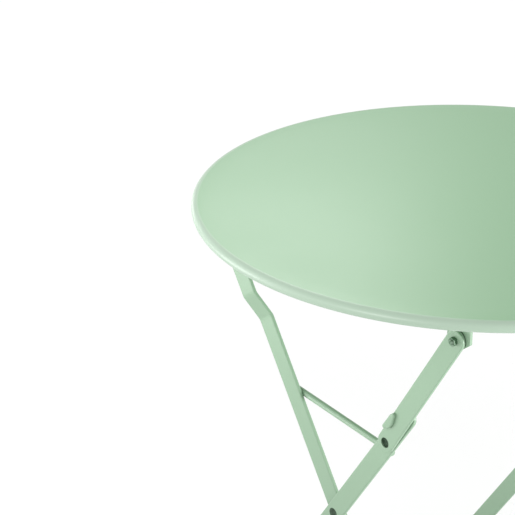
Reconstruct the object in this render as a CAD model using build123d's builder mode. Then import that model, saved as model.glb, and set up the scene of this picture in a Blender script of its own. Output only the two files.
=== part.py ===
from build123d import *
import os
from math import atan2, cos, degrees, radians, sin

# Folding round steel bistro table, standing open.
# Millimetres, +Z up, origin on the floor under the middle of the top.
# X runs along the hinge pins, from the left leg pair (-X) to the right one (+X).
# -Y is the side of the knee links, +Y the side where the top hinges on the main legs.
# A depth is a distance from the middle plane X = 0, out to one side.

# Driving dimensions of the top
table_height = 710.0
top_radius = 300.0
sheet_thickness = 1.2
bead_radius = 6.0

# Brackets and flat strips welded under the sheet
flange_inner_depth = 165.0
bracket_half_width = 15.2
bracket_below_pivot = 8.8
bracket_corner = 10.0
bracket_corner_rise = 8.0
bracket_bend_radius = 3.0
strip_width = 20.0
strip_edge_round = 0.8

# Linkage, seen along X: pivots as (Y, Z), tilts measured from straight down towards +Y
pivot_drop = 40.0
hinge_pivot_y = 186.0
link_pivot_y = -170.2
link_length = 174.0
link_tilt = 31.5
swing_leg_upper = 148.0
swing_leg_tilt = 33.7

# Flat steel bars and the layers that they lie in, as depths of their outer faces
bar_width = 21.6
main_leg_width = 23.0
bar_thickness = 4.0
bar_edge_round = 1.2
link_depth = 195.0
swing_depth = 190.0
main_depth = 185.0
bracket_depth = 190.0
plate_thickness = 3.0

# Joggle of the main leg, as distances down the leg from its hinge pivot
joggle_start = 81.0
joggle_end = 109.0
joggle_bend_radius = 14.0

# Pivots and fasteners
bolt_radius = 2.5
running_clearance = 0.07
bolt_end_depth = 200.8
bolt_end_chamfer = 0.8
bolt_head_thickness = 3.5
nut_across_flats = 8.0
nut_thickness = 4.0
nut_twist = 15.0
hex_chamfer = 0.7
hex_corner_past_flat = 0.8
washer_radius = 5.0
washer_thickness = 0.8
plate_gap = 0.1
knee_hole_radius = 5.6
knee_pin_radius = 4.0
knee_eyelet_thickness = 2.6
eyelet_recess = 0.8
eyelet_lip = 2.2
eyelet_lip_top = 1.4
cross_pin_radius = 4.0
leg_rivet_head_radius = 7.0
stay_rivet_head_radius = 5.0
rivet_sink = 2.0
rivet_dome_height = 2.2
rivet_dome_shoulder = 0.9
rivet_dome_crown = 0.5
rivet_washer_rim = 4.0

# Stay rod, from its rivet on the swing leg to the stud on the main leg
stay_radius = 3.5
stay_depth = 177.2
stay_pivot_below_knee = 23.9
stay_eye_radius = 7.5
stay_eye_thickness = 4.0
stay_rivet_radius = 3.0
stay_spacer_rim = 2.0
stay_rise = 3.8
stay_straight = 146.0
stay_neck = 16.0
hook_wrap = 100.0
hook_tail = 5.0
hook_end_round = 1.5
stud_radius = 2.5
stud_gap = 0.25
stud_head_radius = 5.0
stud_head_thickness = 2.0
stud_head_chamfer = 1.5
stud_head_gap = 0.4

# Feet and cross bars
foot_wall = 2.2
foot_height = 38.0
foot_floor = 4.0
foot_round = 1.5
socket_gap = 0.05
cross_bar_radius = 5.0
cross_bar_end_round = 0.6
main_top_bar_down = 42.0
main_low_bar_z = 130.0
swing_low_bar_z = 150.0

# Stop ear of the swing leg, in distances along the leg above the knee and across it
ear_low = 13.0
ear_high = 44.0
ear_inner = 4.4
ear_wall = 1.9
ear_gap = 0.35
ear_lip = 3.0
ear_end_setback = 3.0
ear_shoulder = 9.0
ear_edge_round = 1.8
ear_corner_round = 2.0
swing_leg_beyond_knee = 44.5

pivot_z = table_height - pivot_drop
hinge_pivot = (hinge_pivot_y, pivot_z)
link_pivot = (link_pivot_y, pivot_z)
sides = ((-1, "left"), (1, "right"))
cut_width = 4 * table_height


def along(start, tilt, distance):
    """Point at a distance from a (Y, Z) start, tilt degrees from straight down towards +Y."""
    return (start[0] + distance * sin(radians(tilt)), start[1] - distance * cos(radians(tilt)))


knee = along(link_pivot, link_tilt, link_length)
cross = along(knee, swing_leg_tilt, swing_leg_upper)
main_leg_tilt = -degrees(atan2(hinge_pivot[0] - cross[0], hinge_pivot[1] - cross[1]))
stay_pivot = along(knee, swing_leg_tilt, stay_pivot_below_knee)
stay_direction = (cos(radians(stay_rise)), sin(radians(stay_rise)))
stay_bend_radius = stud_radius + stud_gap + stay_radius
stay_bend = (
    stay_pivot[0] + stay_straight * stay_direction[0],
    stay_pivot[1] + stay_straight * stay_direction[1],
)
stud = (
    stay_bend[0] + stay_bend_radius * stay_direction[1],
    stay_bend[1] - stay_bend_radius * stay_direction[0],
)


def foot_point(start, tilt, z):
    """Point at height z on the leg through start."""
    return along(start, tilt, (start[1] - z) / cos(radians(tilt)))


def side_plane(side, outer, thickness):
    """Plane for a side view (Y right, Z up), at the lower X face of a layer."""
    x = min(side * outer, side * (outer - thickness))
    return Plane(origin=(x, 0, 0), x_dir=(0, 1, 0), z_dir=(1, 0, 0))


def axle_plane(centre, side):
    """Plane through an axle: x is the depth out to the side, y the radius."""
    return Plane(origin=(0, centre[0], centre[1]), x_dir=(side, 0, 0), z_dir=(0, -side, 0))


def axle(centre, side):
    """Axis of an axle at a (Y, Z) centre, pointing out to the side."""
    return Axis((0, centre[0], centre[1]), (side, 0, 0))


def turned(points, centre, side):
    """A turned piece from its half profile of (depth, radius) points."""
    with BuildPart() as piece:
        with BuildSketch(axle_plane(centre, side)):
            with BuildLine():
                Polyline(*points, close=True)
            make_face()
        revolve(axis=axle(centre, side))
    return piece.part


def ring(outer_depth, thickness, outer_radius, inner_radius, centre, side):
    """A washer or spacer whose outer face is at a depth."""
    low = outer_depth - thickness
    return turned(
        [(low, inner_radius), (outer_depth, inner_radius), (outer_depth, outer_radius), (low, outer_radius)],
        centre,
        side,
    )


def save(part, label):
    """Labels a piece and writes it as one STEP file."""
    part.label = label
    export_step(part, f"parts/{label}.step")


def save_group(parts, label):
    """Writes several alike pieces as the separate solids of one STEP file."""
    group = Compound(label=label, children=[solid for part in parts for solid in part.solids()])
    export_step(group, f"parts/{label}.step")


os.makedirs("parts", exist_ok=True)

# Tabletop: a sheet disc whose rim is rolled down and back into a hollow bead
bead_centre_r = top_radius - bead_radius
bead_centre_z = table_height - bead_radius
bead_inner = bead_radius - sheet_thickness
with BuildPart() as tabletop:
    with BuildSketch(Plane.XZ):
        with BuildLine():
            Line((0, table_height), (bead_centre_r, table_height))
            CenterArc((bead_centre_r, bead_centre_z), bead_radius, 90, -270)
            Line(
                (bead_centre_r - bead_radius, bead_centre_z),
                (bead_centre_r - bead_inner, bead_centre_z),
            )
            CenterArc((bead_centre_r, bead_centre_z), bead_inner, 180, 270)
            Line((bead_centre_r, table_height - sheet_thickness), (0, table_height - sheet_thickness))
            Line((0, table_height - sheet_thickness), (0, table_height))
        make_face()
    revolve(axis=Axis.Z)
save(tabletop.part, "tabletop")

# Angle brackets welded under the sheet: a flange, and an ear that takes the pivot bolt
flange_top = table_height - sheet_thickness
flange_bottom = flange_top - plate_thickness
bracket_inner = bracket_depth - plate_thickness


def bracket(side, pivot):
    """One angle bracket around a pivot of the top."""
    low_z = pivot[1] - bracket_below_pivot
    with BuildPart() as piece:
        with BuildSketch(Plane(origin=(0, pivot[0], 0), x_dir=(side, 0, 0), z_dir=(0, -side, 0))):
            with BuildLine():
                Polyline(
                    (flange_inner_depth, flange_top),
                    (bracket_depth, flange_top),
                    (bracket_depth, low_z),
                    (bracket_inner, low_z),
                    (bracket_inner, flange_bottom),
                    (flange_inner_depth, flange_bottom),
                    close=True,
                )
            face = make_face()
            fillet(face.vertices().sort_by(SortBy.DISTANCE)[-1], bracket_bend_radius)
        extrude(amount=bracket_half_width, both=True)
        with BuildSketch(side_plane(side, bracket_depth, bracket_depth - flange_inner_depth)):
            with BuildLine():
                Polyline(
                    (pivot[0] - bracket_half_width, flange_top),
                    (pivot[0] - bracket_half_width, low_z + bracket_corner_rise),
                    (pivot[0] - bracket_half_width + bracket_corner, low_z),
                    (pivot[0] + bracket_half_width - bracket_corner, low_z),
                    (pivot[0] + bracket_half_width, low_z + bracket_corner_rise),
                    (pivot[0] + bracket_half_width, flange_top),
                    close=True,
                )
            make_face()
        extrude(amount=bracket_depth - flange_inner_depth, mode=Mode.INTERSECT)
        with BuildSketch(side_plane(side, bracket_depth, plate_thickness)):
            with Locations(pivot):
                Circle(bolt_radius + running_clearance)
        extrude(amount=plate_thickness, mode=Mode.SUBTRACT)
    return piece.part


for side, name in sides:
    save(bracket(side, hinge_pivot), f"hinge_bracket_{name}")
    save(bracket(side, link_pivot), f"link_bracket_{name}")

# Flat stiffening strips under the sheet, welded between the brackets
for label, pivot in (("hinge", hinge_pivot), ("link", link_pivot)):
    with BuildPart() as cross_strip:
        with Locations((0, pivot[0], flange_bottom)):
            Box(
                2 * flange_inner_depth,
                strip_width,
                plate_thickness,
                align=(Align.CENTER, Align.CENTER, Align.MIN),
            )
        fillet(cross_strip.faces().sort_by(Axis.Z)[0].edges().filter_by(Axis.X), strip_edge_round)
    save(cross_strip.part, f"cross_strip_{label}_side")

strip_depth = (flange_inner_depth + bracket_depth) / 2
strip_length = hinge_pivot[0] - link_pivot[0] - 2 * bracket_half_width
strip_middle = (hinge_pivot[0] + link_pivot[0]) / 2
for side, name in sides:
    with BuildPart() as side_strip:
        with Locations((side * strip_depth, strip_middle, flange_bottom)):
            Box(
                strip_width,
                strip_length,
                plate_thickness,
                align=(Align.CENTER, Align.CENTER, Align.MIN),
            )
        fillet(side_strip.faces().sort_by(Axis.Z)[0].edges().filter_by(Axis.Y), strip_edge_round)
    save(side_strip.part, f"side_strip_{name}")

# Main legs: flat bars, joggled outwards at the top to clear the swing legs
leg_end = (hinge_pivot[1] - foot_floor) / cos(radians(main_leg_tilt)) + bar_width
main_direction = (0, sin(radians(main_leg_tilt)), -cos(radians(main_leg_tilt)))
main_across = (0, main_direction[2], -main_direction[1])
top_end = -main_leg_width
for side, name in sides:
    with BuildPart() as main_leg:
        edge_view = Plane(
            origin=(0, hinge_pivot[0], hinge_pivot[1]), x_dir=main_direction, z_dir=main_across
        )
        with BuildSketch(edge_view) as main_leg_edge:
            with BuildLine():
                Polyline(
                    (top_end, side * link_depth),
                    (joggle_start, side * link_depth),
                    (joggle_end, side * main_depth),
                    (leg_end, side * main_depth),
                    (leg_end, side * (main_depth - bar_thickness)),
                    (joggle_end, side * (main_depth - bar_thickness)),
                    (joggle_start, side * (link_depth - bar_thickness)),
                    (top_end, side * (link_depth - bar_thickness)),
                    close=True,
                )
            make_face()
            bends = main_leg_edge.vertices().filter_by(
                lambda v: joggle_start / 2 < edge_view.to_local_coords(v).X < joggle_end * 2
            )
            fillet(bends, joggle_bend_radius)
        extrude(amount=main_leg_width / 2, both=True)
        with BuildSketch(side_plane(side, link_depth, link_depth - main_depth + bar_thickness)):
            with Locations(hinge_pivot, foot_point(cross, main_leg_tilt, -bar_width)):
                Circle(main_leg_width / 2)
            make_hull()
            with Locations((hinge_pivot[0] - table_height, foot_floor)):
                Rectangle(cut_width, table_height, align=(Align.CENTER, Align.MAX), mode=Mode.SUBTRACT)
        extrude(amount=link_depth - main_depth + bar_thickness, mode=Mode.INTERSECT)
        fillet(main_leg.faces().filter_by(Axis.X).edges(), bar_edge_round)
        with BuildSketch(side_plane(side, link_depth, link_depth - main_depth + bar_thickness)):
            with Locations(hinge_pivot):
                Circle(bolt_radius + running_clearance)
            with Locations(cross):
                Circle(cross_pin_radius + running_clearance)
        extrude(amount=link_depth - main_depth + bar_thickness, mode=Mode.SUBTRACT)
    save(main_leg.part, f"main_leg_{name}")

# Swing legs: straight flat bars that run past the knee and carry a stop ear there
swing_top = along(knee, swing_leg_tilt, -swing_leg_beyond_knee)
ear_outer = bar_width / 2 + ear_gap + ear_wall
ear_depth = link_depth + ear_gap + ear_lip


def beside(start, distance, offset):
    """Point a distance up the swing leg from start and an offset across it, towards +Y."""
    up = along(start, swing_leg_tilt, -distance)
    tilt = radians(swing_leg_tilt)
    return (up[0] + offset * cos(tilt), up[1] + offset * sin(tilt))


for side, name in sides:
    with BuildPart() as swing_leg:
        with BuildSketch(side_plane(side, swing_depth, bar_thickness)):
            with Locations(swing_top, foot_point(cross, swing_leg_tilt, -bar_width)):
                Circle(bar_width / 2)
            make_hull()
            with Locations((cross[0], foot_floor)):
                Rectangle(cut_width, table_height, align=(Align.CENTER, Align.MAX), mode=Mode.SUBTRACT)
        extrude(amount=bar_thickness)
        fillet(swing_leg.faces().filter_by(Axis.X).edges(), bar_edge_round)
        # the ear turns out past the link's edge and laps over its face
        with BuildSketch(side_plane(side, ear_depth, ear_depth - swing_depth + bar_thickness)) as ear:
            with BuildLine():
                Polyline(
                    beside(knee, ear_low, ear_inner + 2 * ear_end_setback),
                    beside(knee, ear_low + ear_end_setback, ear_outer),
                    beside(knee, ear_high - ear_shoulder, ear_outer),
                    beside(knee, ear_high, ear_outer - ear_end_setback),
                    beside(knee, ear_high - ear_shoulder + ear_end_setback, ear_inner + ear_end_setback),
                    beside(knee, ear_high - 2 * ear_shoulder + ear_end_setback, ear_inner),
                    beside(knee, ear_low + ear_shoulder, ear_inner),
                    close=True,
                )
            make_face()
            fillet(ear.vertices(), ear_corner_round)
        extrude(amount=ear_depth - swing_depth + bar_thickness)
        ear_face = swing_leg.faces().sort_by(Axis.X)[0 if side < 0 else -1]
        fillet(ear_face.edges(), ear_edge_round)
        # slot in the ear that the knee link lies in when the leg is straight
        slot_depth = link_depth + ear_gap - swing_depth
        with BuildSketch(side_plane(side, link_depth + ear_gap, slot_depth)):
            with Locations(knee, along(knee, link_tilt, -2 * ear_high)):
                Circle(bar_width / 2 + ear_gap)
            make_hull()
        extrude(amount=slot_depth, mode=Mode.SUBTRACT)
        with BuildSketch(side_plane(side, swing_depth, bar_thickness)):
            with Locations(knee):
                Circle(knee_pin_radius)
            with Locations(cross):
                Circle(cross_pin_radius)
            with Locations(stay_pivot):
                Circle(stay_rivet_radius)
        extrude(amount=bar_thickness, mode=Mode.SUBTRACT)
        # countersinks for the flush rivet heads on the outer face
        for centre, radius in (
            (knee, knee_pin_radius),
            (cross, cross_pin_radius),
            (stay_pivot, stay_rivet_radius),
        ):
            with BuildSketch(axle_plane(centre, side)):
                with BuildLine():
                    Polyline(
                        (swing_depth - rivet_sink, radius),
                        (swing_depth, radius + rivet_sink),
                        (swing_depth, 0),
                        (swing_depth - rivet_sink, 0),
                        close=True,
                    )
                make_face()
            revolve(axis=axle(centre, side), mode=Mode.SUBTRACT)
    save(swing_leg.part, f"swing_leg_{name}")

# Cross bars: round bars welded between the two legs of a frame


def cross_bar(centre, half_length):
    """A round bar along X between two legs."""
    with BuildPart() as bar:
        with BuildSketch(Plane.YZ.offset(-half_length)):
            with Locations(centre):
                Circle(cross_bar_radius)
        extrude(amount=2 * half_length)
        fillet(bar.edges().filter_by(GeomType.CIRCLE), cross_bar_end_round)
    return bar.part


save(
    cross_bar(along(hinge_pivot, main_leg_tilt, main_top_bar_down), link_depth - bar_thickness),
    "main_top_bar",
)
save(
    cross_bar(foot_point(cross, main_leg_tilt, main_low_bar_z), main_depth - bar_thickness),
    "main_low_bar",
)
save(
    cross_bar(foot_point(cross, swing_leg_tilt, swing_low_bar_z), swing_depth - bar_thickness),
    "swing_low_bar",
)

# Feet: moulded caps pushed onto the ends of the legs, flat on the floor


def foot(side, tilt, outer_depth, leg_width):
    """One foot cap around the end of a leg in the layer at outer_depth."""
    cap_depth = outer_depth + foot_wall
    cap_thickness = bar_thickness + 2 * foot_wall
    below = foot_point(cross, tilt, -bar_width)
    above = foot_point(cross, tilt, 2 * foot_height)
    with BuildPart() as cap:
        with BuildSketch(side_plane(side, cap_depth, cap_thickness)):
            with Locations(below, above):
                Circle(leg_width / 2 + foot_wall)
            make_hull()
            with Locations((cross[0], foot_height)):
                Rectangle(cut_width, table_height, align=(Align.CENTER, Align.MIN), mode=Mode.SUBTRACT)
            with Locations((cross[0], 0)):
                Rectangle(cut_width, table_height, align=(Align.CENTER, Align.MAX), mode=Mode.SUBTRACT)
        extrude(amount=cap_thickness)
        fillet(cap.edges(), foot_round)
        with BuildSketch(side_plane(side, outer_depth + socket_gap, bar_thickness + 2 * socket_gap)):
            with Locations(below, above):
                Circle(leg_width / 2 + socket_gap)
            make_hull()
            with Locations((cross[0], foot_floor)):
                Rectangle(cut_width, table_height, align=(Align.CENTER, Align.MAX), mode=Mode.SUBTRACT)
        extrude(amount=bar_thickness + 2 * socket_gap, mode=Mode.SUBTRACT)
    return cap.part


for side, name in sides:
    save(foot(side, main_leg_tilt, main_depth, main_leg_width), f"main_foot_{name}")
    save(foot(side, swing_leg_tilt, swing_depth, bar_width), f"swing_foot_{name}")

# Knee links: short flat bars from the top's link brackets down to the knees
for side, name in sides:
    with BuildPart() as knee_link:
        with BuildSketch(side_plane(side, link_depth, bar_thickness)):
            with Locations(link_pivot, knee):
                Circle(bar_width / 2)
            make_hull()
        extrude(amount=bar_thickness)
        fillet(knee_link.faces().filter_by(Axis.X).edges(), bar_edge_round)
        with BuildSketch(side_plane(side, link_depth, bar_thickness)):
            with Locations(link_pivot):
                Circle(bolt_radius + running_clearance)
            with Locations(knee):
                Circle(knee_hole_radius)
        extrude(amount=bar_thickness, mode=Mode.SUBTRACT)
    save(knee_link.part, f"knee_link_{name}")
    link_inner = link_depth - bar_thickness
    eyelet_face = link_inner + knee_eyelet_thickness
    save(
        turned(
            [
                (link_inner, 0),
                (eyelet_face - eyelet_recess, 0),
                (eyelet_face - eyelet_recess, knee_hole_radius - eyelet_lip),
                (eyelet_face, knee_hole_radius - eyelet_lip_top),
                (eyelet_face, knee_hole_radius),
                (link_inner, knee_hole_radius),
            ],
            knee,
            side,
        ),
        f"knee_eyelet_{name}",
    )

# Rivets of the swing legs: flush heads outside, domed heads inside


def flush_rivet(centre, side, radius, head_radius, inner_face, outer_end):
    """Rivet with a flush head in the swing leg and a domed head below inner_face."""
    dome_face = inner_face - plate_gap
    stub = [(outer_end, 0), (outer_end, radius), (swing_depth, radius)]
    return turned(
        [
            *(stub if outer_end > swing_depth else [(swing_depth, 0)]),
            (swing_depth, radius + rivet_sink),
            (swing_depth - rivet_sink, radius),
            (dome_face, radius),
            (dome_face, head_radius),
            (dome_face - rivet_dome_height / 2, head_radius * rivet_dome_shoulder),
            (dome_face - rivet_dome_height, head_radius * rivet_dome_crown),
            (dome_face - rivet_dome_height, 0),
        ],
        centre,
        side,
    )


main_inner = main_depth - bar_thickness
swing_inner = swing_depth - bar_thickness
stay_eye_outer = stay_depth + stay_eye_thickness / 2
stay_eye_inner = stay_depth - stay_eye_thickness / 2
save_group(
    [
        flush_rivet(
            knee,
            side,
            knee_pin_radius,
            leg_rivet_head_radius,
            swing_inner + plate_gap,
            swing_depth + washer_thickness,
        )
        for side, name in sides
    ],
    "knee_pins",
)
save_group(
    [
        flush_rivet(cross, side, cross_pin_radius, leg_rivet_head_radius, main_inner, swing_depth)
        for side, name in sides
    ],
    "cross_pins",
)
save_group(
    [
        flush_rivet(
            stay_pivot,
            side,
            stay_rivet_radius,
            stay_rivet_head_radius,
            stay_eye_inner,
            swing_depth,
        )
        for side, name in sides
    ],
    "stay_rivets",
)
save_group(
    [
        ring(
            swing_depth + plate_gap + washer_thickness,
            washer_thickness,
            knee_pin_radius + rivet_washer_rim,
            knee_pin_radius + running_clearance,
            knee,
            side,
        )
        for side, name in sides
    ],
    "knee_washers",
)
save_group(
    [
        ring(
            main_depth + plate_gap + washer_thickness,
            washer_thickness,
            cross_pin_radius + rivet_washer_rim,
            cross_pin_radius + running_clearance,
            cross,
            side,
        )
        for side, name in sides
    ],
    "cross_washers",
)
save_group(
    [
        ring(
            swing_inner,
            swing_inner - stay_eye_outer - 2 * plate_gap,
            stay_rivet_radius + stay_spacer_rim,
            stay_rivet_radius + running_clearance,
            stay_pivot,
            side,
        )
        for side, name in sides
    ],
    "stay_spacers",
)

# Studs welded to the main legs, which the stay hooks lie over
stud_head_face = stay_depth - stay_radius - stud_head_gap
save_group(
    [
        turned(
            [
                (main_inner, 0),
                (main_inner, stud_radius),
                (stud_head_face, stud_radius),
                (stud_head_face, stud_head_radius),
                (stud_head_face - stud_head_thickness / 2, stud_head_radius),
                (stud_head_face - stud_head_thickness, stud_head_radius - stud_head_chamfer),
                (stud_head_face - stud_head_thickness, 0),
            ],
            stud,
            side,
        )
        for side, name in sides
    ],
    "stay_studs",
)

# Stay rods: a flattened eye on the swing leg, a bent hook over the stud
stay_neck_end = (
    stay_pivot[0] + stay_neck * stay_direction[0],
    stay_pivot[1] + stay_neck * stay_direction[1],
)
stay_rod_start = (
    stay_pivot[0] + stay_neck / 2 * stay_direction[0],
    stay_pivot[1] + stay_neck / 2 * stay_direction[1],
)
for side, name in sides:
    with BuildPart() as stay_rod:
        rod_plane = Plane(origin=(side * stay_depth, 0, 0), x_dir=(0, 1, 0), z_dir=(1, 0, 0))
        with BuildLine(rod_plane) as rod_path:
            shaft = Line(stay_rod_start, stay_bend)
            hook = JernArc(start=shaft @ 1, tangent=shaft % 1, radius=stay_bend_radius, arc_size=-hook_wrap)
            Line(hook @ 1, (hook @ 1) + (hook % 1) * hook_tail)
        with BuildSketch(Plane(origin=rod_path.line @ 0, z_dir=rod_path.line % 0)):
            Circle(stay_radius)
        sweep()
        tip = rod_path.line @ 1
        tip_edge = stay_rod.edges().filter_by(GeomType.CIRCLE).sort_by_distance(tip)[0]
        fillet(tip_edge, hook_end_round)
        with BuildSketch(side_plane(side, stay_eye_outer, stay_eye_thickness)):
            with Locations(stay_pivot):
                Circle(stay_eye_radius)
            with Locations(stay_neck_end):
                Circle(stay_radius)
            make_hull()
        extrude(amount=stay_eye_thickness)
        with BuildSketch(side_plane(side, stay_eye_outer, stay_eye_thickness)):
            with Locations(stay_pivot):
                Circle(stay_rivet_radius + running_clearance)
        extrude(amount=stay_eye_thickness, mode=Mode.SUBTRACT)
    save(stay_rod.part, f"stay_rod_{name}")

# Bolts, nuts and washers that pin the main legs and the knee links to the brackets
nut_seat = link_depth + plate_gap


def hexagon(outer_depth, thickness, centre, side, hole):
    """A hexagonal nut or bolt head with turned corners, bored if hole is not 0."""
    flat_half = nut_across_flats / 2
    with BuildPart() as piece:
        with BuildSketch(side_plane(side, outer_depth, thickness)):
            with Locations(centre):
                RegularPolygon(flat_half, 6, major_radius=False, rotation=nut_twist)
                if hole:
                    Circle(hole, mode=Mode.SUBTRACT)
        extrude(amount=thickness)
        with BuildSketch(axle_plane(centre, side)):
            with BuildLine():
                Polyline(
                    (outer_depth, 0),
                    (outer_depth, flat_half),
                    (outer_depth - hex_chamfer, flat_half + hex_corner_past_flat),
                    (outer_depth - thickness + hex_chamfer, flat_half + hex_corner_past_flat),
                    (outer_depth - thickness, flat_half),
                    (outer_depth - thickness, 0),
                    close=True,
                )
            make_face()
        revolve(axis=axle(centre, side), mode=Mode.INTERSECT)
    return piece.part


def bolt(centre, side):
    """A hexagon bolt from inside a bracket ear, out through the leg or link."""
    with BuildPart() as piece:
        add(hexagon(bracket_inner, bolt_head_thickness, centre, side, 0))
        with BuildSketch(axle_plane(centre, side)):
            with BuildLine():
                Polyline(
                    (bracket_inner - bolt_head_thickness / 2, 0),
                    (bracket_inner - bolt_head_thickness / 2, bolt_radius),
                    (bolt_end_depth - bolt_end_chamfer, bolt_radius),
                    (bolt_end_depth, bolt_radius - bolt_end_chamfer),
                    (bolt_end_depth, 0),
                    close=True,
                )
            make_face()
        revolve(axis=axle(centre, side))
    return piece.part


for label, pivot in (("hinge", hinge_pivot), ("link", link_pivot)):
    save_group([bolt(pivot, side) for side, name in sides], f"{label}_bolts")
    save_group(
        [hexagon(nut_seat + nut_thickness, nut_thickness, pivot, side, bolt_radius) for side, name in sides],
        f"{label}_nuts",
    )
    save_group(
        [
            ring(
                bracket_depth + plate_gap / 2 + washer_thickness,
                washer_thickness,
                washer_radius,
                bolt_radius + running_clearance,
                pivot,
                side,
            )
            for side, name in sides
        ],
        f"{label}_washers",
    )
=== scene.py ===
"""Finishes, welds, studio and camera of a folding round steel bistro table.

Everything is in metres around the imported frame. X runs along the hinge pins,
-Y is the side of the knee links and +Z is up.
"""

import logging
import math
import random
from collections.abc import Sequence
from dataclasses import dataclass, field
from enum import Enum
from typing import Any, Protocol

import bmesh
import bpy
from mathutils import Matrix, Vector


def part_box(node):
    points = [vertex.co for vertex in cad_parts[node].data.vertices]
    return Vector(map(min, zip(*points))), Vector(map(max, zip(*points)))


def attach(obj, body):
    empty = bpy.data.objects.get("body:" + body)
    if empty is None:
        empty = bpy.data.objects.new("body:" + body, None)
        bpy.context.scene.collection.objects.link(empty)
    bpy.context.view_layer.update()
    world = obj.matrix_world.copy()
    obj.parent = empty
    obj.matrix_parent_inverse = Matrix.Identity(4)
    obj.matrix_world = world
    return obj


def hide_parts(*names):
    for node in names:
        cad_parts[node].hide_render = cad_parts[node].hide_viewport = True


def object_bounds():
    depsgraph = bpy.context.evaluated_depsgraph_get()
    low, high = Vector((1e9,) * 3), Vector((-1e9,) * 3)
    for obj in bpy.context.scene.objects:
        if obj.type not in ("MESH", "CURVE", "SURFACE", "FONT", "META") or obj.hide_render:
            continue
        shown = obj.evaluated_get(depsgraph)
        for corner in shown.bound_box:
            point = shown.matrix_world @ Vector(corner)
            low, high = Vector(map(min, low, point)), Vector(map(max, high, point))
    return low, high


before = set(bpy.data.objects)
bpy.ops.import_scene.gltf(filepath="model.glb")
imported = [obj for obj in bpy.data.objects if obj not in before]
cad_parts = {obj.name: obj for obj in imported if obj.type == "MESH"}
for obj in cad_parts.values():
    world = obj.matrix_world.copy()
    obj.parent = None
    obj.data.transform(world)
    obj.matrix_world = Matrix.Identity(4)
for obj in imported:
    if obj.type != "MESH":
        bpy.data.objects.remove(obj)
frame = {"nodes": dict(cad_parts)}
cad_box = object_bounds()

LOG = logging.getLogger("bistro_table")
MM = 0.001
PIVOTS = ("hinge", "link")
Colour = tuple[float, float, float, float]
Point = tuple[float, float, float]


class Side(Enum):
    """The two leg pairs, and which way each lies along X."""

    LEFT = ("left", -1)
    RIGHT = ("right", 1)

    @property
    def word(self) -> str:
        """The side's name in a node name."""
        return self.value[0]

    @property
    def sign(self) -> int:
        """The side's direction along X."""
        return self.value[1]


class Slot(Enum):
    """The record's material slots."""

    TOP = "top_paint"
    FRAME = "frame_paint"
    FASTENER = "fastener_paint"
    RIVET = "rivet_steel"
    WASHER = "washer_steel"
    FOOT = "foot_plastic"


class Signal:
    """A number that changes over a surface. Arithmetic on it adds Math nodes."""

    def __init__(self, bench: "Bench", socket: bpy.types.NodeSocket) -> None:
        """Wraps an output socket of one bench's node tree."""
        self.bench = bench
        self.socket = socket

    def _math(self, operation: str, *values: "Signal | float", clamp: bool = False) -> "Signal":
        """Adds one Math node.

        Args:
            operation: Blender's name of the operation.
            values: The numbers or signals that it works on, in order.
            clamp: Whether the result is held between 0 and 1.

        Returns:
            The node's result.
        """
        node = self.bench.node(
            "ShaderNodeMath",
            {"operation": operation, "use_clamp": clamp},
            dict(enumerate(values)),
        )
        return Signal(self.bench, node.outputs[0])

    def __add__(self, other: "Signal | float") -> "Signal":
        """self + other."""
        return self._math("ADD", self, other)

    def __radd__(self, other: float) -> "Signal":
        """other + self."""
        return self._math("ADD", other, self)

    def __sub__(self, other: "Signal | float") -> "Signal":
        """self - other."""
        return self._math("SUBTRACT", self, other)

    def __rsub__(self, other: float) -> "Signal":
        """other - self."""
        return self._math("SUBTRACT", other, self)

    def __mul__(self, other: "Signal | float") -> "Signal":
        """self * other."""
        return self._math("MULTIPLY", self, other)

    def __rmul__(self, other: float) -> "Signal":
        """other * self."""
        return self._math("MULTIPLY", other, self)

    def __pow__(self, other: "Signal | float") -> "Signal":
        """self ** other."""
        return self._math("POWER", self, other)

    def clamped(self) -> "Signal":
        """The signal held between 0 and 1."""
        return self._math("ADD", self, 0.0, clamp=True)

    def between(self, low: float, high: float) -> "Signal":
        """0 below low, 1 above high and straight between them."""
        return ((self - low) * (1 / (high - low))).clamped()


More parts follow.
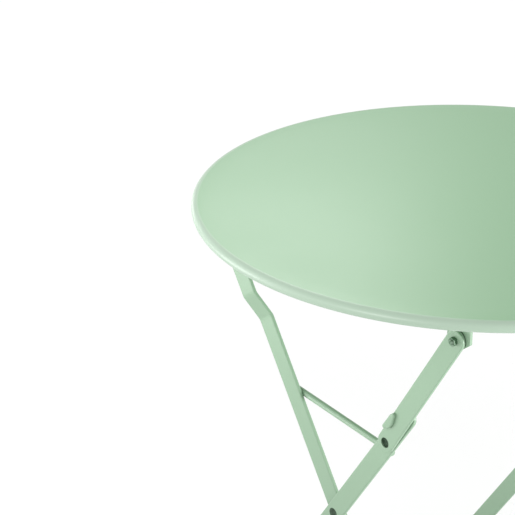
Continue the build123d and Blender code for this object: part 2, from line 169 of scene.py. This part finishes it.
class Bench:
    """The node tree of one material, and the few ways in which nodes join it."""

    def __init__(self, name: str) -> None:
        """Starts an empty material."""
        self.material = bpy.data.materials.new(name)
        self.material.use_nodes = True
        self.tree = self.material.node_tree
        self.tree.nodes.clear()
        self._place: bpy.types.NodeSocket | None = None

    def node(
        self,
        kind: str,
        settings: dict[str, Any] | None = None,
        sockets: dict[str | int, Any] | None = None,
    ) -> bpy.types.Node:
        """Adds a node.

        Args:
            kind: Blender's name of the node type.
            settings: The node's own settings, set first.
            sockets: Values, signals or sockets for its inputs, by name or number.

        Returns:
            The new node.
        """
        made = self.tree.nodes.new(kind)
        for key, value in (settings or {}).items():
            setattr(made, key, value)
        for key, value in (sockets or {}).items():
            if isinstance(value, Signal):
                value = value.socket
            if isinstance(value, bpy.types.NodeSocket):
                self.tree.links.new(value, made.inputs[key])
            else:
                made.inputs[key].default_value = value
        return made

    def place(self) -> bpy.types.NodeSocket:
        """The point on the piece at rest, in metres."""
        if self._place is None:
            self._place = self.node("ShaderNodeTexCoord").outputs["Object"]
        return self._place

    def stretched(self, x: float, y: float, z: float) -> bpy.types.NodeSocket:
        """The point on the piece with each axis scaled, for a pattern with a direction."""
        node = self.node(
            "ShaderNodeVectorMath", {"operation": "MULTIPLY"}, {0: self.place(), 1: (x, y, z)}
        )
        return node.outputs[0]

    def noise(
        self,
        size: float,
        detail: float = 2.0,
        at: bpy.types.NodeSocket | None = None,
    ) -> Signal:
        """Soft random unevenness between 0 and 1.

        Args:
            size: How large one patch is, in metres.
            detail: How many finer layers it has.
            at: The point that it is read at, if not the plain one.

        Returns:
            The unevenness.
        """
        node = self.node(
            "ShaderNodeTexNoise",
            {"noise_dimensions": "3D"},
            {"Vector": at or self.place(), "Scale": 1 / size, "Detail": detail, "Roughness": 0.5},
        )
        return Signal(self, node.outputs[0])

    def cells(self, size: float) -> Signal:
        """How far a point is from the middle of its cell in a pattern of cells."""
        node = self.node(
            "ShaderNodeTexVoronoi",
            {"feature": "F1"},
            {"Vector": self.place(), "Scale": 1 / size, "Randomness": 1.0},
        )
        return Signal(self, node.outputs["Distance"])

    def edge(self, radius: float) -> Signal:
        """Near 1 on the sharp edges of a piece and 0 on its flat faces."""
        soft = self.node("ShaderNodeBevel", {"samples": 4}, {"Radius": radius}).outputs[0]
        true = self.node("ShaderNodeNewGeometry").outputs["Normal"]
        dot = self.node("ShaderNodeVectorMath", {"operation": "DOT_PRODUCT"}, {0: soft, 1: true})
        return (1 - Signal(self, dot.outputs["Value"])).between(0.01, 0.25)

    def blend(self, factor: Signal, low: Any, high: Any) -> bpy.types.NodeSocket:
        """Mixes two colours.

        Args:
            factor: 0 gives the first colour and 1 the second.
            low: The first colour or a socket with it.
            high: The second colour or a socket with it.

        Returns:
            The mixed colour's socket.
        """
        sockets = {"Factor": factor, 6: low, 7: high}
        return self.node("ShaderNodeMix", {"data_type": "RGBA"}, sockets).outputs[2]

    def bump(
        self,
        height: Signal,
        depth: float,
        strength: float = 1.0,
        over: bpy.types.NodeSocket | None = None,
    ) -> bpy.types.NodeSocket:
        """Turns a height into a normal.

        Args:
            height: The height, 0 to 1.
            depth: How far 1 stands above 0, in metres.
            strength: How much of it shows.
            over: A normal that it adds to.

        Returns:
            The normal's socket.
        """
        sockets = {"Height": height, "Distance": depth, "Strength": strength}
        if over is not None:
            sockets["Normal"] = over
        return self.node("ShaderNodeBump", None, sockets).outputs[0]

    def surface(self, sockets: dict[str, Any]) -> bpy.types.Material:
        """Closes the tree with the surface shader.

        Args:
            sockets: Values or links of the shader's inputs.

        Returns:
            The finished material.
        """
        shader = self.node("ShaderNodeBsdfPrincipled", None, sockets)
        self.node("ShaderNodeOutputMaterial", None, {"Surface": shader.outputs[0]})
        return self.material


class Finish(Protocol):
    """Anything that can make a material."""

    name: str

    def make(self) -> bpy.types.Material:
        """Builds the finish's material."""


@dataclass(frozen=True)
class PowderCoat:
    """Baked powder paint: an even satin film with faint orange peel.

    With a rim colour, the film turns to it past a distance from the middle of the top: the rolled rim is
    painted paler as a painted highlight, not in a different paint.
    """

    name: str
    shade: Colour
    light: Colour
    roughness: float = 0.42
    peel_size: float = 2.6 * MM
    peel_depth: float = 0.045 * MM
    drift: float = 0.5
    fleck: float = 0.35
    # How much lighter the sharp edges are painted, as a painted highlight.
    edge_lift: float = 0.0
    edge_radius: float = 1.2 * MM
    coat: float = 0.12
    # Colour of the painted highlight on the rolled rim.
    rim: Colour | None = None
    rim_start: float = 292.5 * MM
    rim_full: float = 296.0 * MM
    rim_ragged: float = 0.4 * MM

    def make(self) -> bpy.types.Material:
        """Builds the paint's material."""
        bench = Bench(self.name)
        drift = bench.noise(0.19, 3.0) - 0.5
        fleck = bench.noise(0.55 * MM, 2.0) - 0.5
        film = 0.5 + drift * self.drift + fleck * self.fleck
        # Painted highlight: the edges are painted lighter, standing in for light caught by their
        # rounding.
        if self.edge_lift:
            film = film + bench.edge(self.edge_radius) * self.edge_lift
        peel = bench.noise(self.peel_size, 1.6)
        pimple = bench.noise(0.8 * MM, 1.0)
        rolled = bench.bump(peel, self.peel_depth)
        colour = bench.blend(film.clamped(), self.shade, self.light)
        # Painted highlight: the rolled rim turns to the paler rim colour, standing in for light falling
        # on it.
        if self.rim:
            split = bench.node("ShaderNodeSeparateXYZ", None, {0: bench.place()})
            x, y = Signal(bench, split.outputs["X"]), Signal(bench, split.outputs["Y"])
            radius = (x * x + y * y) ** 0.5
            rim_highlight_mask = (radius + fleck * self.rim_ragged).between(self.rim_start, self.rim_full)
            colour = bench.blend(rim_highlight_mask, colour, self.rim)
        return bench.surface(
            {
                "Base Color": colour,
                "Roughness": self.roughness + drift * 0.10 + fleck * 0.08,
                "Normal": bench.bump(pimple, self.peel_depth * 0.12, 1.0, rolled),
                "Coat Weight": self.coat,
                "Coat Roughness": 0.3,
                "IOR": 1.5,
            }
        )


@dataclass(frozen=True)
class TintedSteel:
    """Plated steel under a fine green film that has gone from its corners."""

    name: str
    film: Colour
    metal: Colour
    wear: float = 0.35
    roughness: float = 0.38
    edge_radius: float = 0.8 * MM

    def make(self) -> bpy.types.Material:
        """Builds the fastener's material."""
        bench = Bench(self.name)
        patch = bench.noise(2.2 * MM, 4.0)
        grit = bench.noise(0.35 * MM, 2.0)
        bare = (bench.edge(self.edge_radius) * 0.6 + patch.between(0.52, 0.66) * self.wear).clamped()
        return bench.surface(
            {
                "Base Color": bench.blend(bare, self.film, self.metal),
                "Metallic": 0.25 + bare * 0.7,
                "Roughness": self.roughness + (grit - 0.5) * 0.3,
                "Normal": bench.bump(grit, 0.03 * MM, 0.8),
            }
        )


@dataclass(frozen=True)
class RivetSteel:
    """Near-black green rivet steel with fine turning marks and a paler rubbed bloom; the near-black is
    dark steel and painted shade in the knee hole.
    """

    name: str
    dark: Colour
    pale: Colour
    roughness: float = 0.34

    def make(self) -> bpy.types.Material:
        """Builds the rivet's material."""
        bench = Bench(self.name)
        scratch = bench.noise(0.5 * MM, 3.0, bench.stretched(0.2, 1.0, 1.0))
        bloom = bench.noise(3.5 * MM, 4.0).between(0.45, 0.75)
        tone = (bloom * 0.55 + (scratch - 0.5) * 0.3).clamped()
        return bench.surface(
            {
                "Base Color": bench.blend(tone, self.dark, self.pale),
                "Metallic": 0.75,
                "Roughness": self.roughness + (scratch - 0.5) * 0.25,
                "Normal": bench.bump(scratch, 0.02 * MM, 0.8),
            }
        )


@dataclass(frozen=True)
class ZincPlate:
    """Bright zinc plating with small crystal patches."""

    name: str
    dark: Colour
    pale: Colour

    def make(self) -> bpy.types.Material:
        """Builds the washer's material."""
        bench = Bench(self.name)
        crystal = bench.cells(1.4 * MM)
        dust = bench.noise(0.7 * MM, 3.0)
        return bench.surface(
            {
                "Base Color": bench.blend((crystal * 0.9 + dust * 0.3).clamped(), self.dark, self.pale),
                "Metallic": 1.0,
                "Roughness": 0.3 + dust * 0.15 + crystal * 0.08,
                "Normal": bench.bump(dust, 0.02 * MM, 0.7),
            }
        )


@dataclass(frozen=True)
class MouldedPlastic:
    """Matt moulded polyethylene with a spark-eroded grain and a scuffed sole."""

    name: str
    body: Colour
    scuff: Colour
    sole_height: float = 4.0 * MM

    def make(self) -> bpy.types.Material:
        """Builds the foot's material."""
        bench = Bench(self.name)
        grain = bench.cells(0.7 * MM)
        flow = bench.noise(12 * MM, 3.0)
        split = bench.node("ShaderNodeSeparateXYZ", None, {0: bench.place()})
        height = Signal(bench, split.outputs["Z"])
        sole = 1 - height.between(0.2 * self.sole_height, 2.2 * self.sole_height)
        rub = (sole * bench.noise(3 * MM, 4.0).between(0.42, 0.62) + (flow - 0.5) * 0.25).clamped()
        return bench.surface(
            {
                "Base Color": bench.blend(rub, self.body, self.scuff),
                "Roughness": 0.55 + (flow - 0.5) * 0.12 + sole * 0.1,
                "Normal": bench.bump(grain, 0.04 * MM, 0.7),
            }
        )


@dataclass(frozen=True)
class StudioPaper:
    """Plain pale matt paper for the floor."""

    name: str
    low: Colour
    high: Colour

    def make(self) -> bpy.types.Material:
        """Builds the floor's material."""
        bench = Bench(self.name)
        tone = bench.noise(0.5, 2.0)
        return bench.surface(
            {
                "Base Color": bench.blend(tone, self.low, self.high),
                "Roughness": 0.9,
                "Specular IOR Level": 0.1,
                "Normal": bench.bump(bench.noise(1.2 * MM, 2.0), 0.02 * MM, 0.3),
            }
        )


@dataclass(frozen=True)
class Finishes:
    """Every finish of the table, one for each slot of the record."""

    top: PowderCoat = PowderCoat(
        name="mint_powder_coat_top",
        shade=(0.155, 0.325, 0.163, 1.0),
        light=(0.168, 0.340, 0.176, 1.0),
        coat=0.2,
        # Painted highlight on the rolled rim.
        rim=(0.31, 0.41, 0.32, 1.0),
        drift=0.7,
    )
    frame: PowderCoat = PowderCoat(
        name="mint_powder_coat_frame",
        shade=(0.215, 0.335, 0.222, 1.0),
        light=(0.248, 0.365, 0.255, 1.0),
        roughness=0.40,
        peel_size=2.0 * MM,
        # Frame edges painted lighter as a painted highlight.
        edge_lift=0.5,
    )
    fastener: TintedSteel = TintedSteel(
        name="tinted_zinc_fasteners",
        film=(0.060, 0.135, 0.068, 1.0),
        metal=(0.44, 0.53, 0.45, 1.0),
    )
    rivet: RivetSteel = RivetSteel(
        name="rivet_steel_and_painted_shade",
        # Near-black green: dark steel, and painted shade in the knee hole.
        dark=(0.022, 0.045, 0.024, 1.0),
        pale=(0.10, 0.17, 0.11, 1.0),
    )
    washer: ZincPlate = ZincPlate(
        name="zinc_washers",
        dark=(0.40, 0.43, 0.41, 1.0),
        pale=(0.66, 0.69, 0.67, 1.0),
    )
    foot: MouldedPlastic = MouldedPlastic(
        name="black_moulded_feet",
        body=(0.012, 0.014, 0.012, 1.0),
        scuff=(0.055, 0.058, 0.055, 1.0),
    )

    def made(self) -> dict[Slot, bpy.types.Material]:
        """Builds all the materials, one for each slot."""
        finishes: dict[Slot, Finish] = {
            Slot.TOP: self.top,
            Slot.FRAME: self.frame,
            Slot.FASTENER: self.fastener,
            Slot.RIVET: self.rivet,
            Slot.WASHER: self.washer,
            Slot.FOOT: self.foot,
        }
        return {slot: finish.make() for slot, finish in finishes.items()}


Materials = dict[Slot, bpy.types.Material]


def dress(node: str, slot: Slot, materials: Materials) -> None:
    """Gives a CAD node its finish.

    Args:
        node: The node's name.
        slot: The slot whose finish it takes.
        materials: The finished materials.
    """
    mesh = frame["nodes"][node].data
    mesh.materials.clear()
    mesh.materials.append(materials[slot])
    LOG.info("%s: %s", node, slot.value)


def middle(node: str) -> Vector:
    """The middle of a CAD node's box."""
    low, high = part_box(node)
    return (low + high) / 2


@dataclass
class Run:
    """One line that a bead is laid along."""

    points: list[Vector]
    closed: bool = False

    def walked(self, step: float) -> list[Vector]:
        """The line's points again, about one step apart.

        Args:
            step: The distance between points, in metres.

        Returns:
            The new points.
        """
        ends = self.points + self.points[:1] if self.closed else self.points
        lengths = [(b - a).length for a, b in zip(ends, ends[1:])]
        count = max(3, round(sum(lengths) / step))
        walked = []
        for number in range(count if self.closed else count + 1):
            left = sum(lengths) * number / count
            part = 0
            while part < len(lengths) - 1 and left > lengths[part]:
                left -= lengths[part]
                part += 1
            walked.append(ends[part].lerp(ends[part + 1], left / lengths[part]))
        return walked


@dataclass
class Bead:
    """A rippled bead of weld metal, or a plain round ridge if the ripple is 0."""

    radius: float = 1.6 * MM
    ripple: float = 0.16
    pitch: float = 1.5 * MM
    step: float = 0.5 * MM
    sides: int = 10

    def lay(self, mesh: bmesh.types.BMesh, run: Run, seed: int) -> None:
        """Adds one bead to a mesh.

        Args:
            mesh: The mesh that it joins.
            run: The line that it follows.
            seed: Fixes the bead's own small unevenness.
        """
        dice = random.Random(seed)
        points = run.walked(self.step)
        count = len(points)
        rings: list[list[bmesh.types.BMVert]] = []
        across: Vector | None = None
        phase = dice.uniform(0, math.tau)
        for number, point in enumerate(points):
            ahead = points[(number + 1) % count] if run.closed else points[min(number + 1, count - 1)]
            behind = points[number - 1] if run.closed else points[max(number - 1, 0)]
            forward = (ahead - behind).normalized()
            if across is None:
                across = forward.orthogonal().normalized()
            across = (across - forward * across.dot(forward)).normalized()
            other = forward.cross(across)
            swell = 1 + self.ripple * math.sin(math.tau * number * self.step / self.pitch + phase)
            swell *= 1 + (dice.random() - 0.5) * self.ripple * 0.3
            if not run.closed:
                end = min(number, count - 1 - number) * self.step
                swell *= math.sqrt(min(1.0, (end + 0.15 * self.radius) / (1.4 * self.radius)))
            size = self.radius * swell
            ring = []
            for side in range(self.sides):
                turn = math.tau * side / self.sides
                out = across * math.cos(turn) + other * math.sin(turn)
                ring.append(mesh.verts.new(point + out * size))
            rings.append(ring)
        pairs = list(zip(rings, rings[1:]))
        if run.closed:
            pairs.append((rings[-1], self._turned(rings[-1], rings[0])))
        for first, second in pairs:
            for side in range(self.sides):
                after = (side + 1) % self.sides
                mesh.faces.new((first[side], first[after], second[after], second[side]))
        if not run.closed:
            mesh.faces.new(list(reversed(rings[0])))
            mesh.faces.new(rings[-1])

    def _turned(
        self, last: list[bmesh.types.BMVert], first: list[bmesh.types.BMVert]
    ) -> list[bmesh.types.BMVert]:
        """The first ring, started at the vertex nearest to the last ring's start."""
        nearest = min(range(self.sides), key=lambda n: (first[n].co - last[0].co).length)
        return first[nearest:] + first[:nearest]

    def piece(
        self, name: str, runs: Sequence[Run], body: str, slot: Slot, materials: Materials
    ) -> bpy.types.Object:
        """Makes one object of several beads.

        Args:
            name: The object's name.
            runs: The lines that the beads follow.
            body: The CAD body that it rides on.
            slot: The slot whose finish it takes.
            materials: The finished materials.

        Returns:
            The new object.
        """
        mesh = bmesh.new()
        for number, run in enumerate(runs):
            self.lay(mesh, run, number + len(name))
        return finished(name, mesh, body, slot, materials)


def finished(
    name: str, mesh: bmesh.types.BMesh, body: str, slot: Slot, materials: Materials
) -> bpy.types.Object:
    """Turns a mesh in the making into a smooth, dressed piece that rides on a body.

    Args:
        name: The piece's name.
        mesh: The mesh in the making.
        body: The CAD body that it rides on.
        slot: The slot whose finish it takes.
        materials: The finished materials.

    Returns:
        The new object.
    """
    bmesh.ops.recalc_face_normals(mesh, faces=mesh.faces)
    data = bpy.data.meshes.new(name)
    mesh.to_mesh(data)
    mesh.free()
    data.materials.append(materials[slot])
    for face in data.polygons:
        face.use_smooth = True
    piece = bpy.data.objects.new(name, data)
    bpy.context.scene.collection.objects.link(piece)
    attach(piece, body)
    LOG.info("%s: %d faces on %s", name, len(data.polygons), body)
    return piece


def circle(centre: Vector, radius: float, count: int = 48) -> list[Vector]:
    """Points of a circle round an axle along X."""
    turns = (math.tau * number / count for number in range(count))
    return [centre + Vector((0, radius * math.cos(t), radius * math.sin(t))) for t in turns]


@dataclass
class TopPanel:
    """The pressed sheet top: a flat disc whose rim is rolled into a hollow bead."""

    sheet: float = 1.2 * MM
    roll: float = 6.0 * MM
    around: int = 360
    roll_steps: int = 26
    flat_rings: int = 14
    camber: float = 0.25 * MM

    def profile(self, radius: float, height: float) -> list[tuple[float, float]]:
        """The sheet's cut edge outline from the middle outwards and back, as (radius, height)."""
        centre_r = radius - self.roll
        centre_z = height - self.roll
        inner = self.roll - self.sheet
        steps = range(self.roll_steps + 1)
        flat = [centre_r * n / self.flat_rings for n in range(1, self.flat_rings)]
        outline = [(r, height - self.camber * self._dip(r / centre_r)) for r in flat]
        for n in steps:
            turn = math.radians(90 - 270 * n / self.roll_steps)
            outline.append((centre_r + self.roll * math.cos(turn), centre_z + self.roll * math.sin(turn)))
        for n in steps:
            turn = math.radians(-180 + 270 * n / self.roll_steps)
            outline.append((centre_r + inner * math.cos(turn), centre_z + inner * math.sin(turn)))
        outline += [
            (r, height - self.sheet - self.camber * self._dip(r / centre_r)) for r in reversed(flat)
        ]
        return outline

    @staticmethod
    def _dip(share: float) -> float:
        """How much of the camber a ring has: none at the rim, most inside it."""
        return math.sin(math.pi * min(1.0, (1 - share) * 3) / 2) ** 2

    def build(self, materials: Materials) -> None:
        """Builds the sheet in place of its CAD node.

        Args:
            materials: The finished materials.
        """
        low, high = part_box("tabletop")
        outline = self.profile((high.x - low.x) / 2, high.z)
        mesh = bmesh.new()
        rings = []
        for number in range(self.around):
            turn = math.tau * number / self.around
            rings.append(
                [mesh.verts.new((r * math.cos(turn), r * math.sin(turn), z)) for r, z in outline]
            )
        for number, ring in enumerate(rings):
            following = rings[(number + 1) % self.around]
            for step in range(len(outline) - 1):
                mesh.faces.new((ring[step], following[step], following[step + 1], ring[step + 1]))
        for end, height in ((0, outline[0][1]), (-1, outline[-1][1])):
            hub = mesh.verts.new((0, 0, height))
            for number, ring in enumerate(rings):
                mesh.faces.new((hub, ring[end], rings[(number + 1) % self.around][end]))
        piece = finished("pressed_top", mesh, "top", Slot.TOP, materials)
        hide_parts("tabletop")


@dataclass
class UnderFrame:
    """Brackets and flat strips under the sheet, with the welds that hold them."""

    strip_half: float = 10.0 * MM
    stitch: float = 22.0 * MM
    stitches: int = 4
    stitch_drop: float = 1.3 * MM
    bead: Bead = field(default_factory=lambda: Bead(radius=1.5 * MM))

    def build(self, materials: Materials) -> None:
        """Dresses the brackets and strips and adds their welds.

        Args:
            materials: The finished materials.
        """
        for end in PIVOTS:
            dress(f"cross_strip_{end}_side", Slot.FRAME, materials)
            for side in Side:
                dress(f"{end}_bracket_{side.word}", Slot.FRAME, materials)
        for side in Side:
            dress(f"side_strip_{side.word}", Slot.FRAME, materials)
        self.bead.piece("bracket_welds", self.butt_runs(), "top", Slot.FRAME, materials)
        self.bead.piece("strip_welds", self.stitch_runs(), "top", Slot.FRAME, materials)

    def butt_runs(self) -> list[Run]:
        """The welds where the strips meet the brackets' flanges."""
        runs = []
        for end in PIVOTS:
            low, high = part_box(f"cross_strip_{end}_side")
            for x in (low.x, high.x):
                runs.append(Run([Vector((x, low.y + MM, low.z)), Vector((x, high.y - MM, low.z))]))
        for side in Side:
            low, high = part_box(f"side_strip_{side.word}")
            for y in (low.y, high.y):
                runs.append(Run([Vector((low.x + MM, y, low.z)), Vector((high.x - MM, y, low.z))]))
        return runs

    def stitch_runs(self) -> list[Run]:
        """The short welds along the strips' edges against the sheet."""
        runs = []
        strips = [f"cross_strip_{end}_side" for end in PIVOTS]
        strips += [f"side_strip_{side.word}" for side in Side]
        for node in strips:
            low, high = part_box(node)
            along = 0 if high.x - low.x > high.y - low.y else 1
            across = 1 - along
            for number in range(self.stitches):
                share = (number + 0.5) / self.stitches
                centre = low[along] + (high[along] - low[along]) * share
                for edge in (low[across], high[across]):
                    points = []
                    for shift in (-self.stitch / 2, self.stitch / 2):
                        point = Vector((0, 0, high.z - self.stitch_drop))
                        point[along] = centre + shift
                        point[across] = edge
                        points.append(point)
                    runs.append(Run(points))
        return runs


@dataclass
class LegPair:
    """Two legs of one body, the round bars welded between them and their feet."""

    body: str
    leg: str
    foot: str
    bars: tuple[str, ...]
    weld_inset: float = 0.5 * MM
    weld_stand: float = 0.4 * MM
    bead: Bead = field(default_factory=lambda: Bead(radius=1.7 * MM))

    def build(self, materials: Materials) -> None:
        """Dresses the legs, bars and feet and adds the bars' welds.

        Args:
            materials: The finished materials.
        """
        for side in Side:
            dress(f"{self.leg}_{side.word}", Slot.FRAME, materials)
            dress(f"{self.foot}_{side.word}", Slot.FOOT, materials)
        for bar in self.bars:
            dress(bar, Slot.FRAME, materials)
        self.bead.piece(f"{self.leg}_bar_welds", self.bar_runs(), self.body, Slot.FRAME, materials)

    def bar_runs(self) -> list[Run]:
        """The welds round the ends of the bars."""
        runs = []
        for bar in self.bars:
            low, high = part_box(bar)
            radius = (high.z - low.z) / 2
            for side in Side:
                x = (high.x if side.sign > 0 else low.x) - side.sign * self.weld_inset
                centre = Vector((x, middle(bar).y, middle(bar).z))
                runs.append(Run(circle(centre, radius + self.weld_stand), closed=True))
        return runs


@dataclass
class Fasteners:
    """Bolts, nuts, washers and rivets, with the threads that stand out of the nuts."""

    thread_pitch: float = 0.8 * MM
    thread_radius: float = 2.42 * MM
    thread_start: float = 0.1 * MM
    thread_end: float = 0.45 * MM
    thread_steps: int = 60
    ridge: Bead = field(
        default_factory=lambda: Bead(radius=0.2 * MM, ripple=0.0, step=0.35 * MM, sides=6)
    )

    def build(self, materials: Materials) -> None:
        """Dresses the fasteners and adds the bolts' threads.

        Args:
            materials: The finished materials.
        """
        for end in PIVOTS:
            dress(f"{end}_bolts", Slot.FASTENER, materials)
            dress(f"{end}_nuts", Slot.FASTENER, materials)
            dress(f"{end}_washers", Slot.WASHER, materials)
            runs = self.thread_runs(f"{end}_bolts", f"{end}_nuts")
            self.ridge.piece(f"{end}_threads", runs, "top", Slot.FASTENER, materials)
        for node in ("cross_pins", "knee_pins"):
            dress(node, Slot.RIVET, materials)
        for node in ("stay_rivets", "stay_studs"):
            dress(node, Slot.FRAME, materials)
        for node in ("cross_washers", "knee_washers", "stay_spacers"):
            dress(node, Slot.WASHER, materials)

    def thread_runs(self, bolts: str, nuts: str) -> list[Run]:
        """The helix of thread that stands out of each nut.

        Args:
            bolts: The bolts' node.
            nuts: The nuts' node.

        Returns:
            One run for each bolt.
        """
        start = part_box(nuts)[1].x + self.thread_start
        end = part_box(bolts)[1].x - self.thread_end
        axle = middle(nuts)
        runs = []
        for side in Side:
            points = []
            for number in range(self.thread_steps + 1):
                depth = start + (end - start) * number / self.thread_steps
                turn = math.tau * (depth - start) / self.thread_pitch
                points.append(
                    Vector(
                        (
                            side.sign * depth,
                            axle.y + self.thread_radius * math.cos(turn),
                            axle.z + self.thread_radius * math.sin(turn),
                        )
                    )
                )
            runs.append(Run(points))
        return runs


@dataclass
class Linkage:
    """Knee links with their eyelets, and the stay rods."""

    def build(self, materials: Materials) -> None:
        """Dresses the links, eyelets and rods.

        Args:
            materials: The finished materials.
        """
        for side in Side:
            dress(f"knee_link_{side.word}", Slot.FRAME, materials)
            # The eyelet's near-black green is dark steel and painted shade in the knee hole.
            dress(f"knee_eyelet_{side.word}", Slot.RIVET, materials)
            dress(f"stay_rod_{side.word}", Slot.FRAME, materials)


@dataclass(frozen=True)
class Softbox:
    """A square soft light with a grid that narrows it. Lengths in metres, spread in degrees."""

    name: str
    place: Point
    target: Point
    size: float
    spread: float
    power: float

    def hang(self) -> None:
        """Adds the light to the scene, out of the camera's sight."""
        data = bpy.data.lights.new(self.name, "AREA")
        data.size = self.size
        data.spread = math.radians(self.spread)
        data.energy = self.power
        light = bpy.data.objects.new(self.name, data)
        light.visible_camera = False
        light.location = self.place
        aim = Vector(self.target) - Vector(self.place)
        light.rotation_euler = aim.to_track_quat("-Z", "Y").to_euler()
        bpy.context.scene.collection.objects.link(light)


@dataclass
class Studio:
    """Pale floor, soft lights and the camera."""

    floor_half: float = 30.0
    floor_gap: float = 0.2 * MM
    sky: float = 1.08
    sensor: float = 36.0
    lens: float = 131.0
    far: float = 200.0
    eye: Point = (-1.3005, -1.2824, 1.4431)
    tilt: float = 66.15
    heading: float = -38.14
    lights: tuple[Softbox, ...] = (
        Softbox("sheen", (0.80, 1.30, 1.80), (-0.224, 0.06, 0.71), 0.5, 60.0, 0.72),
        Softbox("near_sheen", (0.55, 1.45, 1.60), (-0.25, -0.02, 0.71), 0.45, 50.0, 0.06),
        Softbox("side", (-1.1, -0.3, 0.85), (-0.19, -0.1, 0.68), 0.25, 40.0, 0.18),
        Softbox("back_side", (-1.1, 0.35, 0.85), (-0.19, 0.16, 0.66), 0.25, 30.0, 0.08),
        Softbox("low_side", (-1.2, 1.35, 0.45), (-0.19, 0.13, 0.66), 0.8, 60.0, 1.8),
        Softbox("rim", (-0.75, 0.55, 1.0), (-0.25, 0.17, 0.70), 0.25, 40.0, 0.06),
        Softbox("low_back", (0.0, 1.75, 0.62), (-0.24, 0.18, 0.70), 0.5, 60.0, 0.2),
        Softbox("front", (0.7, -1.6, 0.45), (-0.15, -0.1, 0.62), 0.45, 60.0, 3.5),
    )

    def build(self) -> None:
        """Builds the floor, the lights and the camera."""
        scene = bpy.context.scene
        scene.view_settings.view_transform = "Standard"
        self.lay_floor()
        world = bpy.data.worlds.new("studio")
        world.use_nodes = True
        backdrop = world.node_tree.nodes["Background"]
        backdrop.inputs["Color"].default_value = (1.0, 1.0, 1.0, 1.0)
        backdrop.inputs["Strength"].default_value = self.sky
        scene.world = world
        for light in self.lights:
            light.hang()
        data = bpy.data.cameras.new("camera")
        data.sensor_width = self.sensor
        data.lens = self.lens
        data.clip_end = self.far
        camera = bpy.data.objects.new("camera", data)
        camera.location = self.eye
        camera.rotation_euler = (math.radians(self.tilt), 0.0, math.radians(self.heading))
        scene.collection.objects.link(camera)
        scene.camera = camera

    def lay_floor(self) -> None:
        """Lays the pale floor under the feet."""
        mesh = bmesh.new()
        bmesh.ops.create_grid(mesh, x_segments=4, y_segments=4, size=self.floor_half)
        data = bpy.data.meshes.new("studio_floor")
        mesh.to_mesh(data)
        mesh.free()
        paper = StudioPaper("studio_paper", (0.93, 0.93, 0.93, 1.0), (0.96, 0.96, 0.96, 1.0))
        data.materials.append(paper.make())
        floor = bpy.data.objects.new("studio_floor", data)
        floor.location.z = cad_box[0].z - self.floor_gap
        bpy.context.scene.collection.objects.link(floor)


def main() -> None:
    """Builds the table's looks, sub-assembly by sub-assembly."""
    logging.basicConfig(level=logging.INFO, format="%(message)s")
    materials = Finishes().made()
    Studio().build()
    TopPanel().build(materials)
    UnderFrame().build(materials)
    LegPair("main_frame", "main_leg", "main_foot", ("main_top_bar", "main_low_bar")).build(materials)
    LegPair("swing_frame", "swing_leg", "swing_foot", ("swing_low_bar",)).build(materials)
    Linkage().build(materials)
    Fasteners().build(materials)


if __name__ == "__main__":
    main()
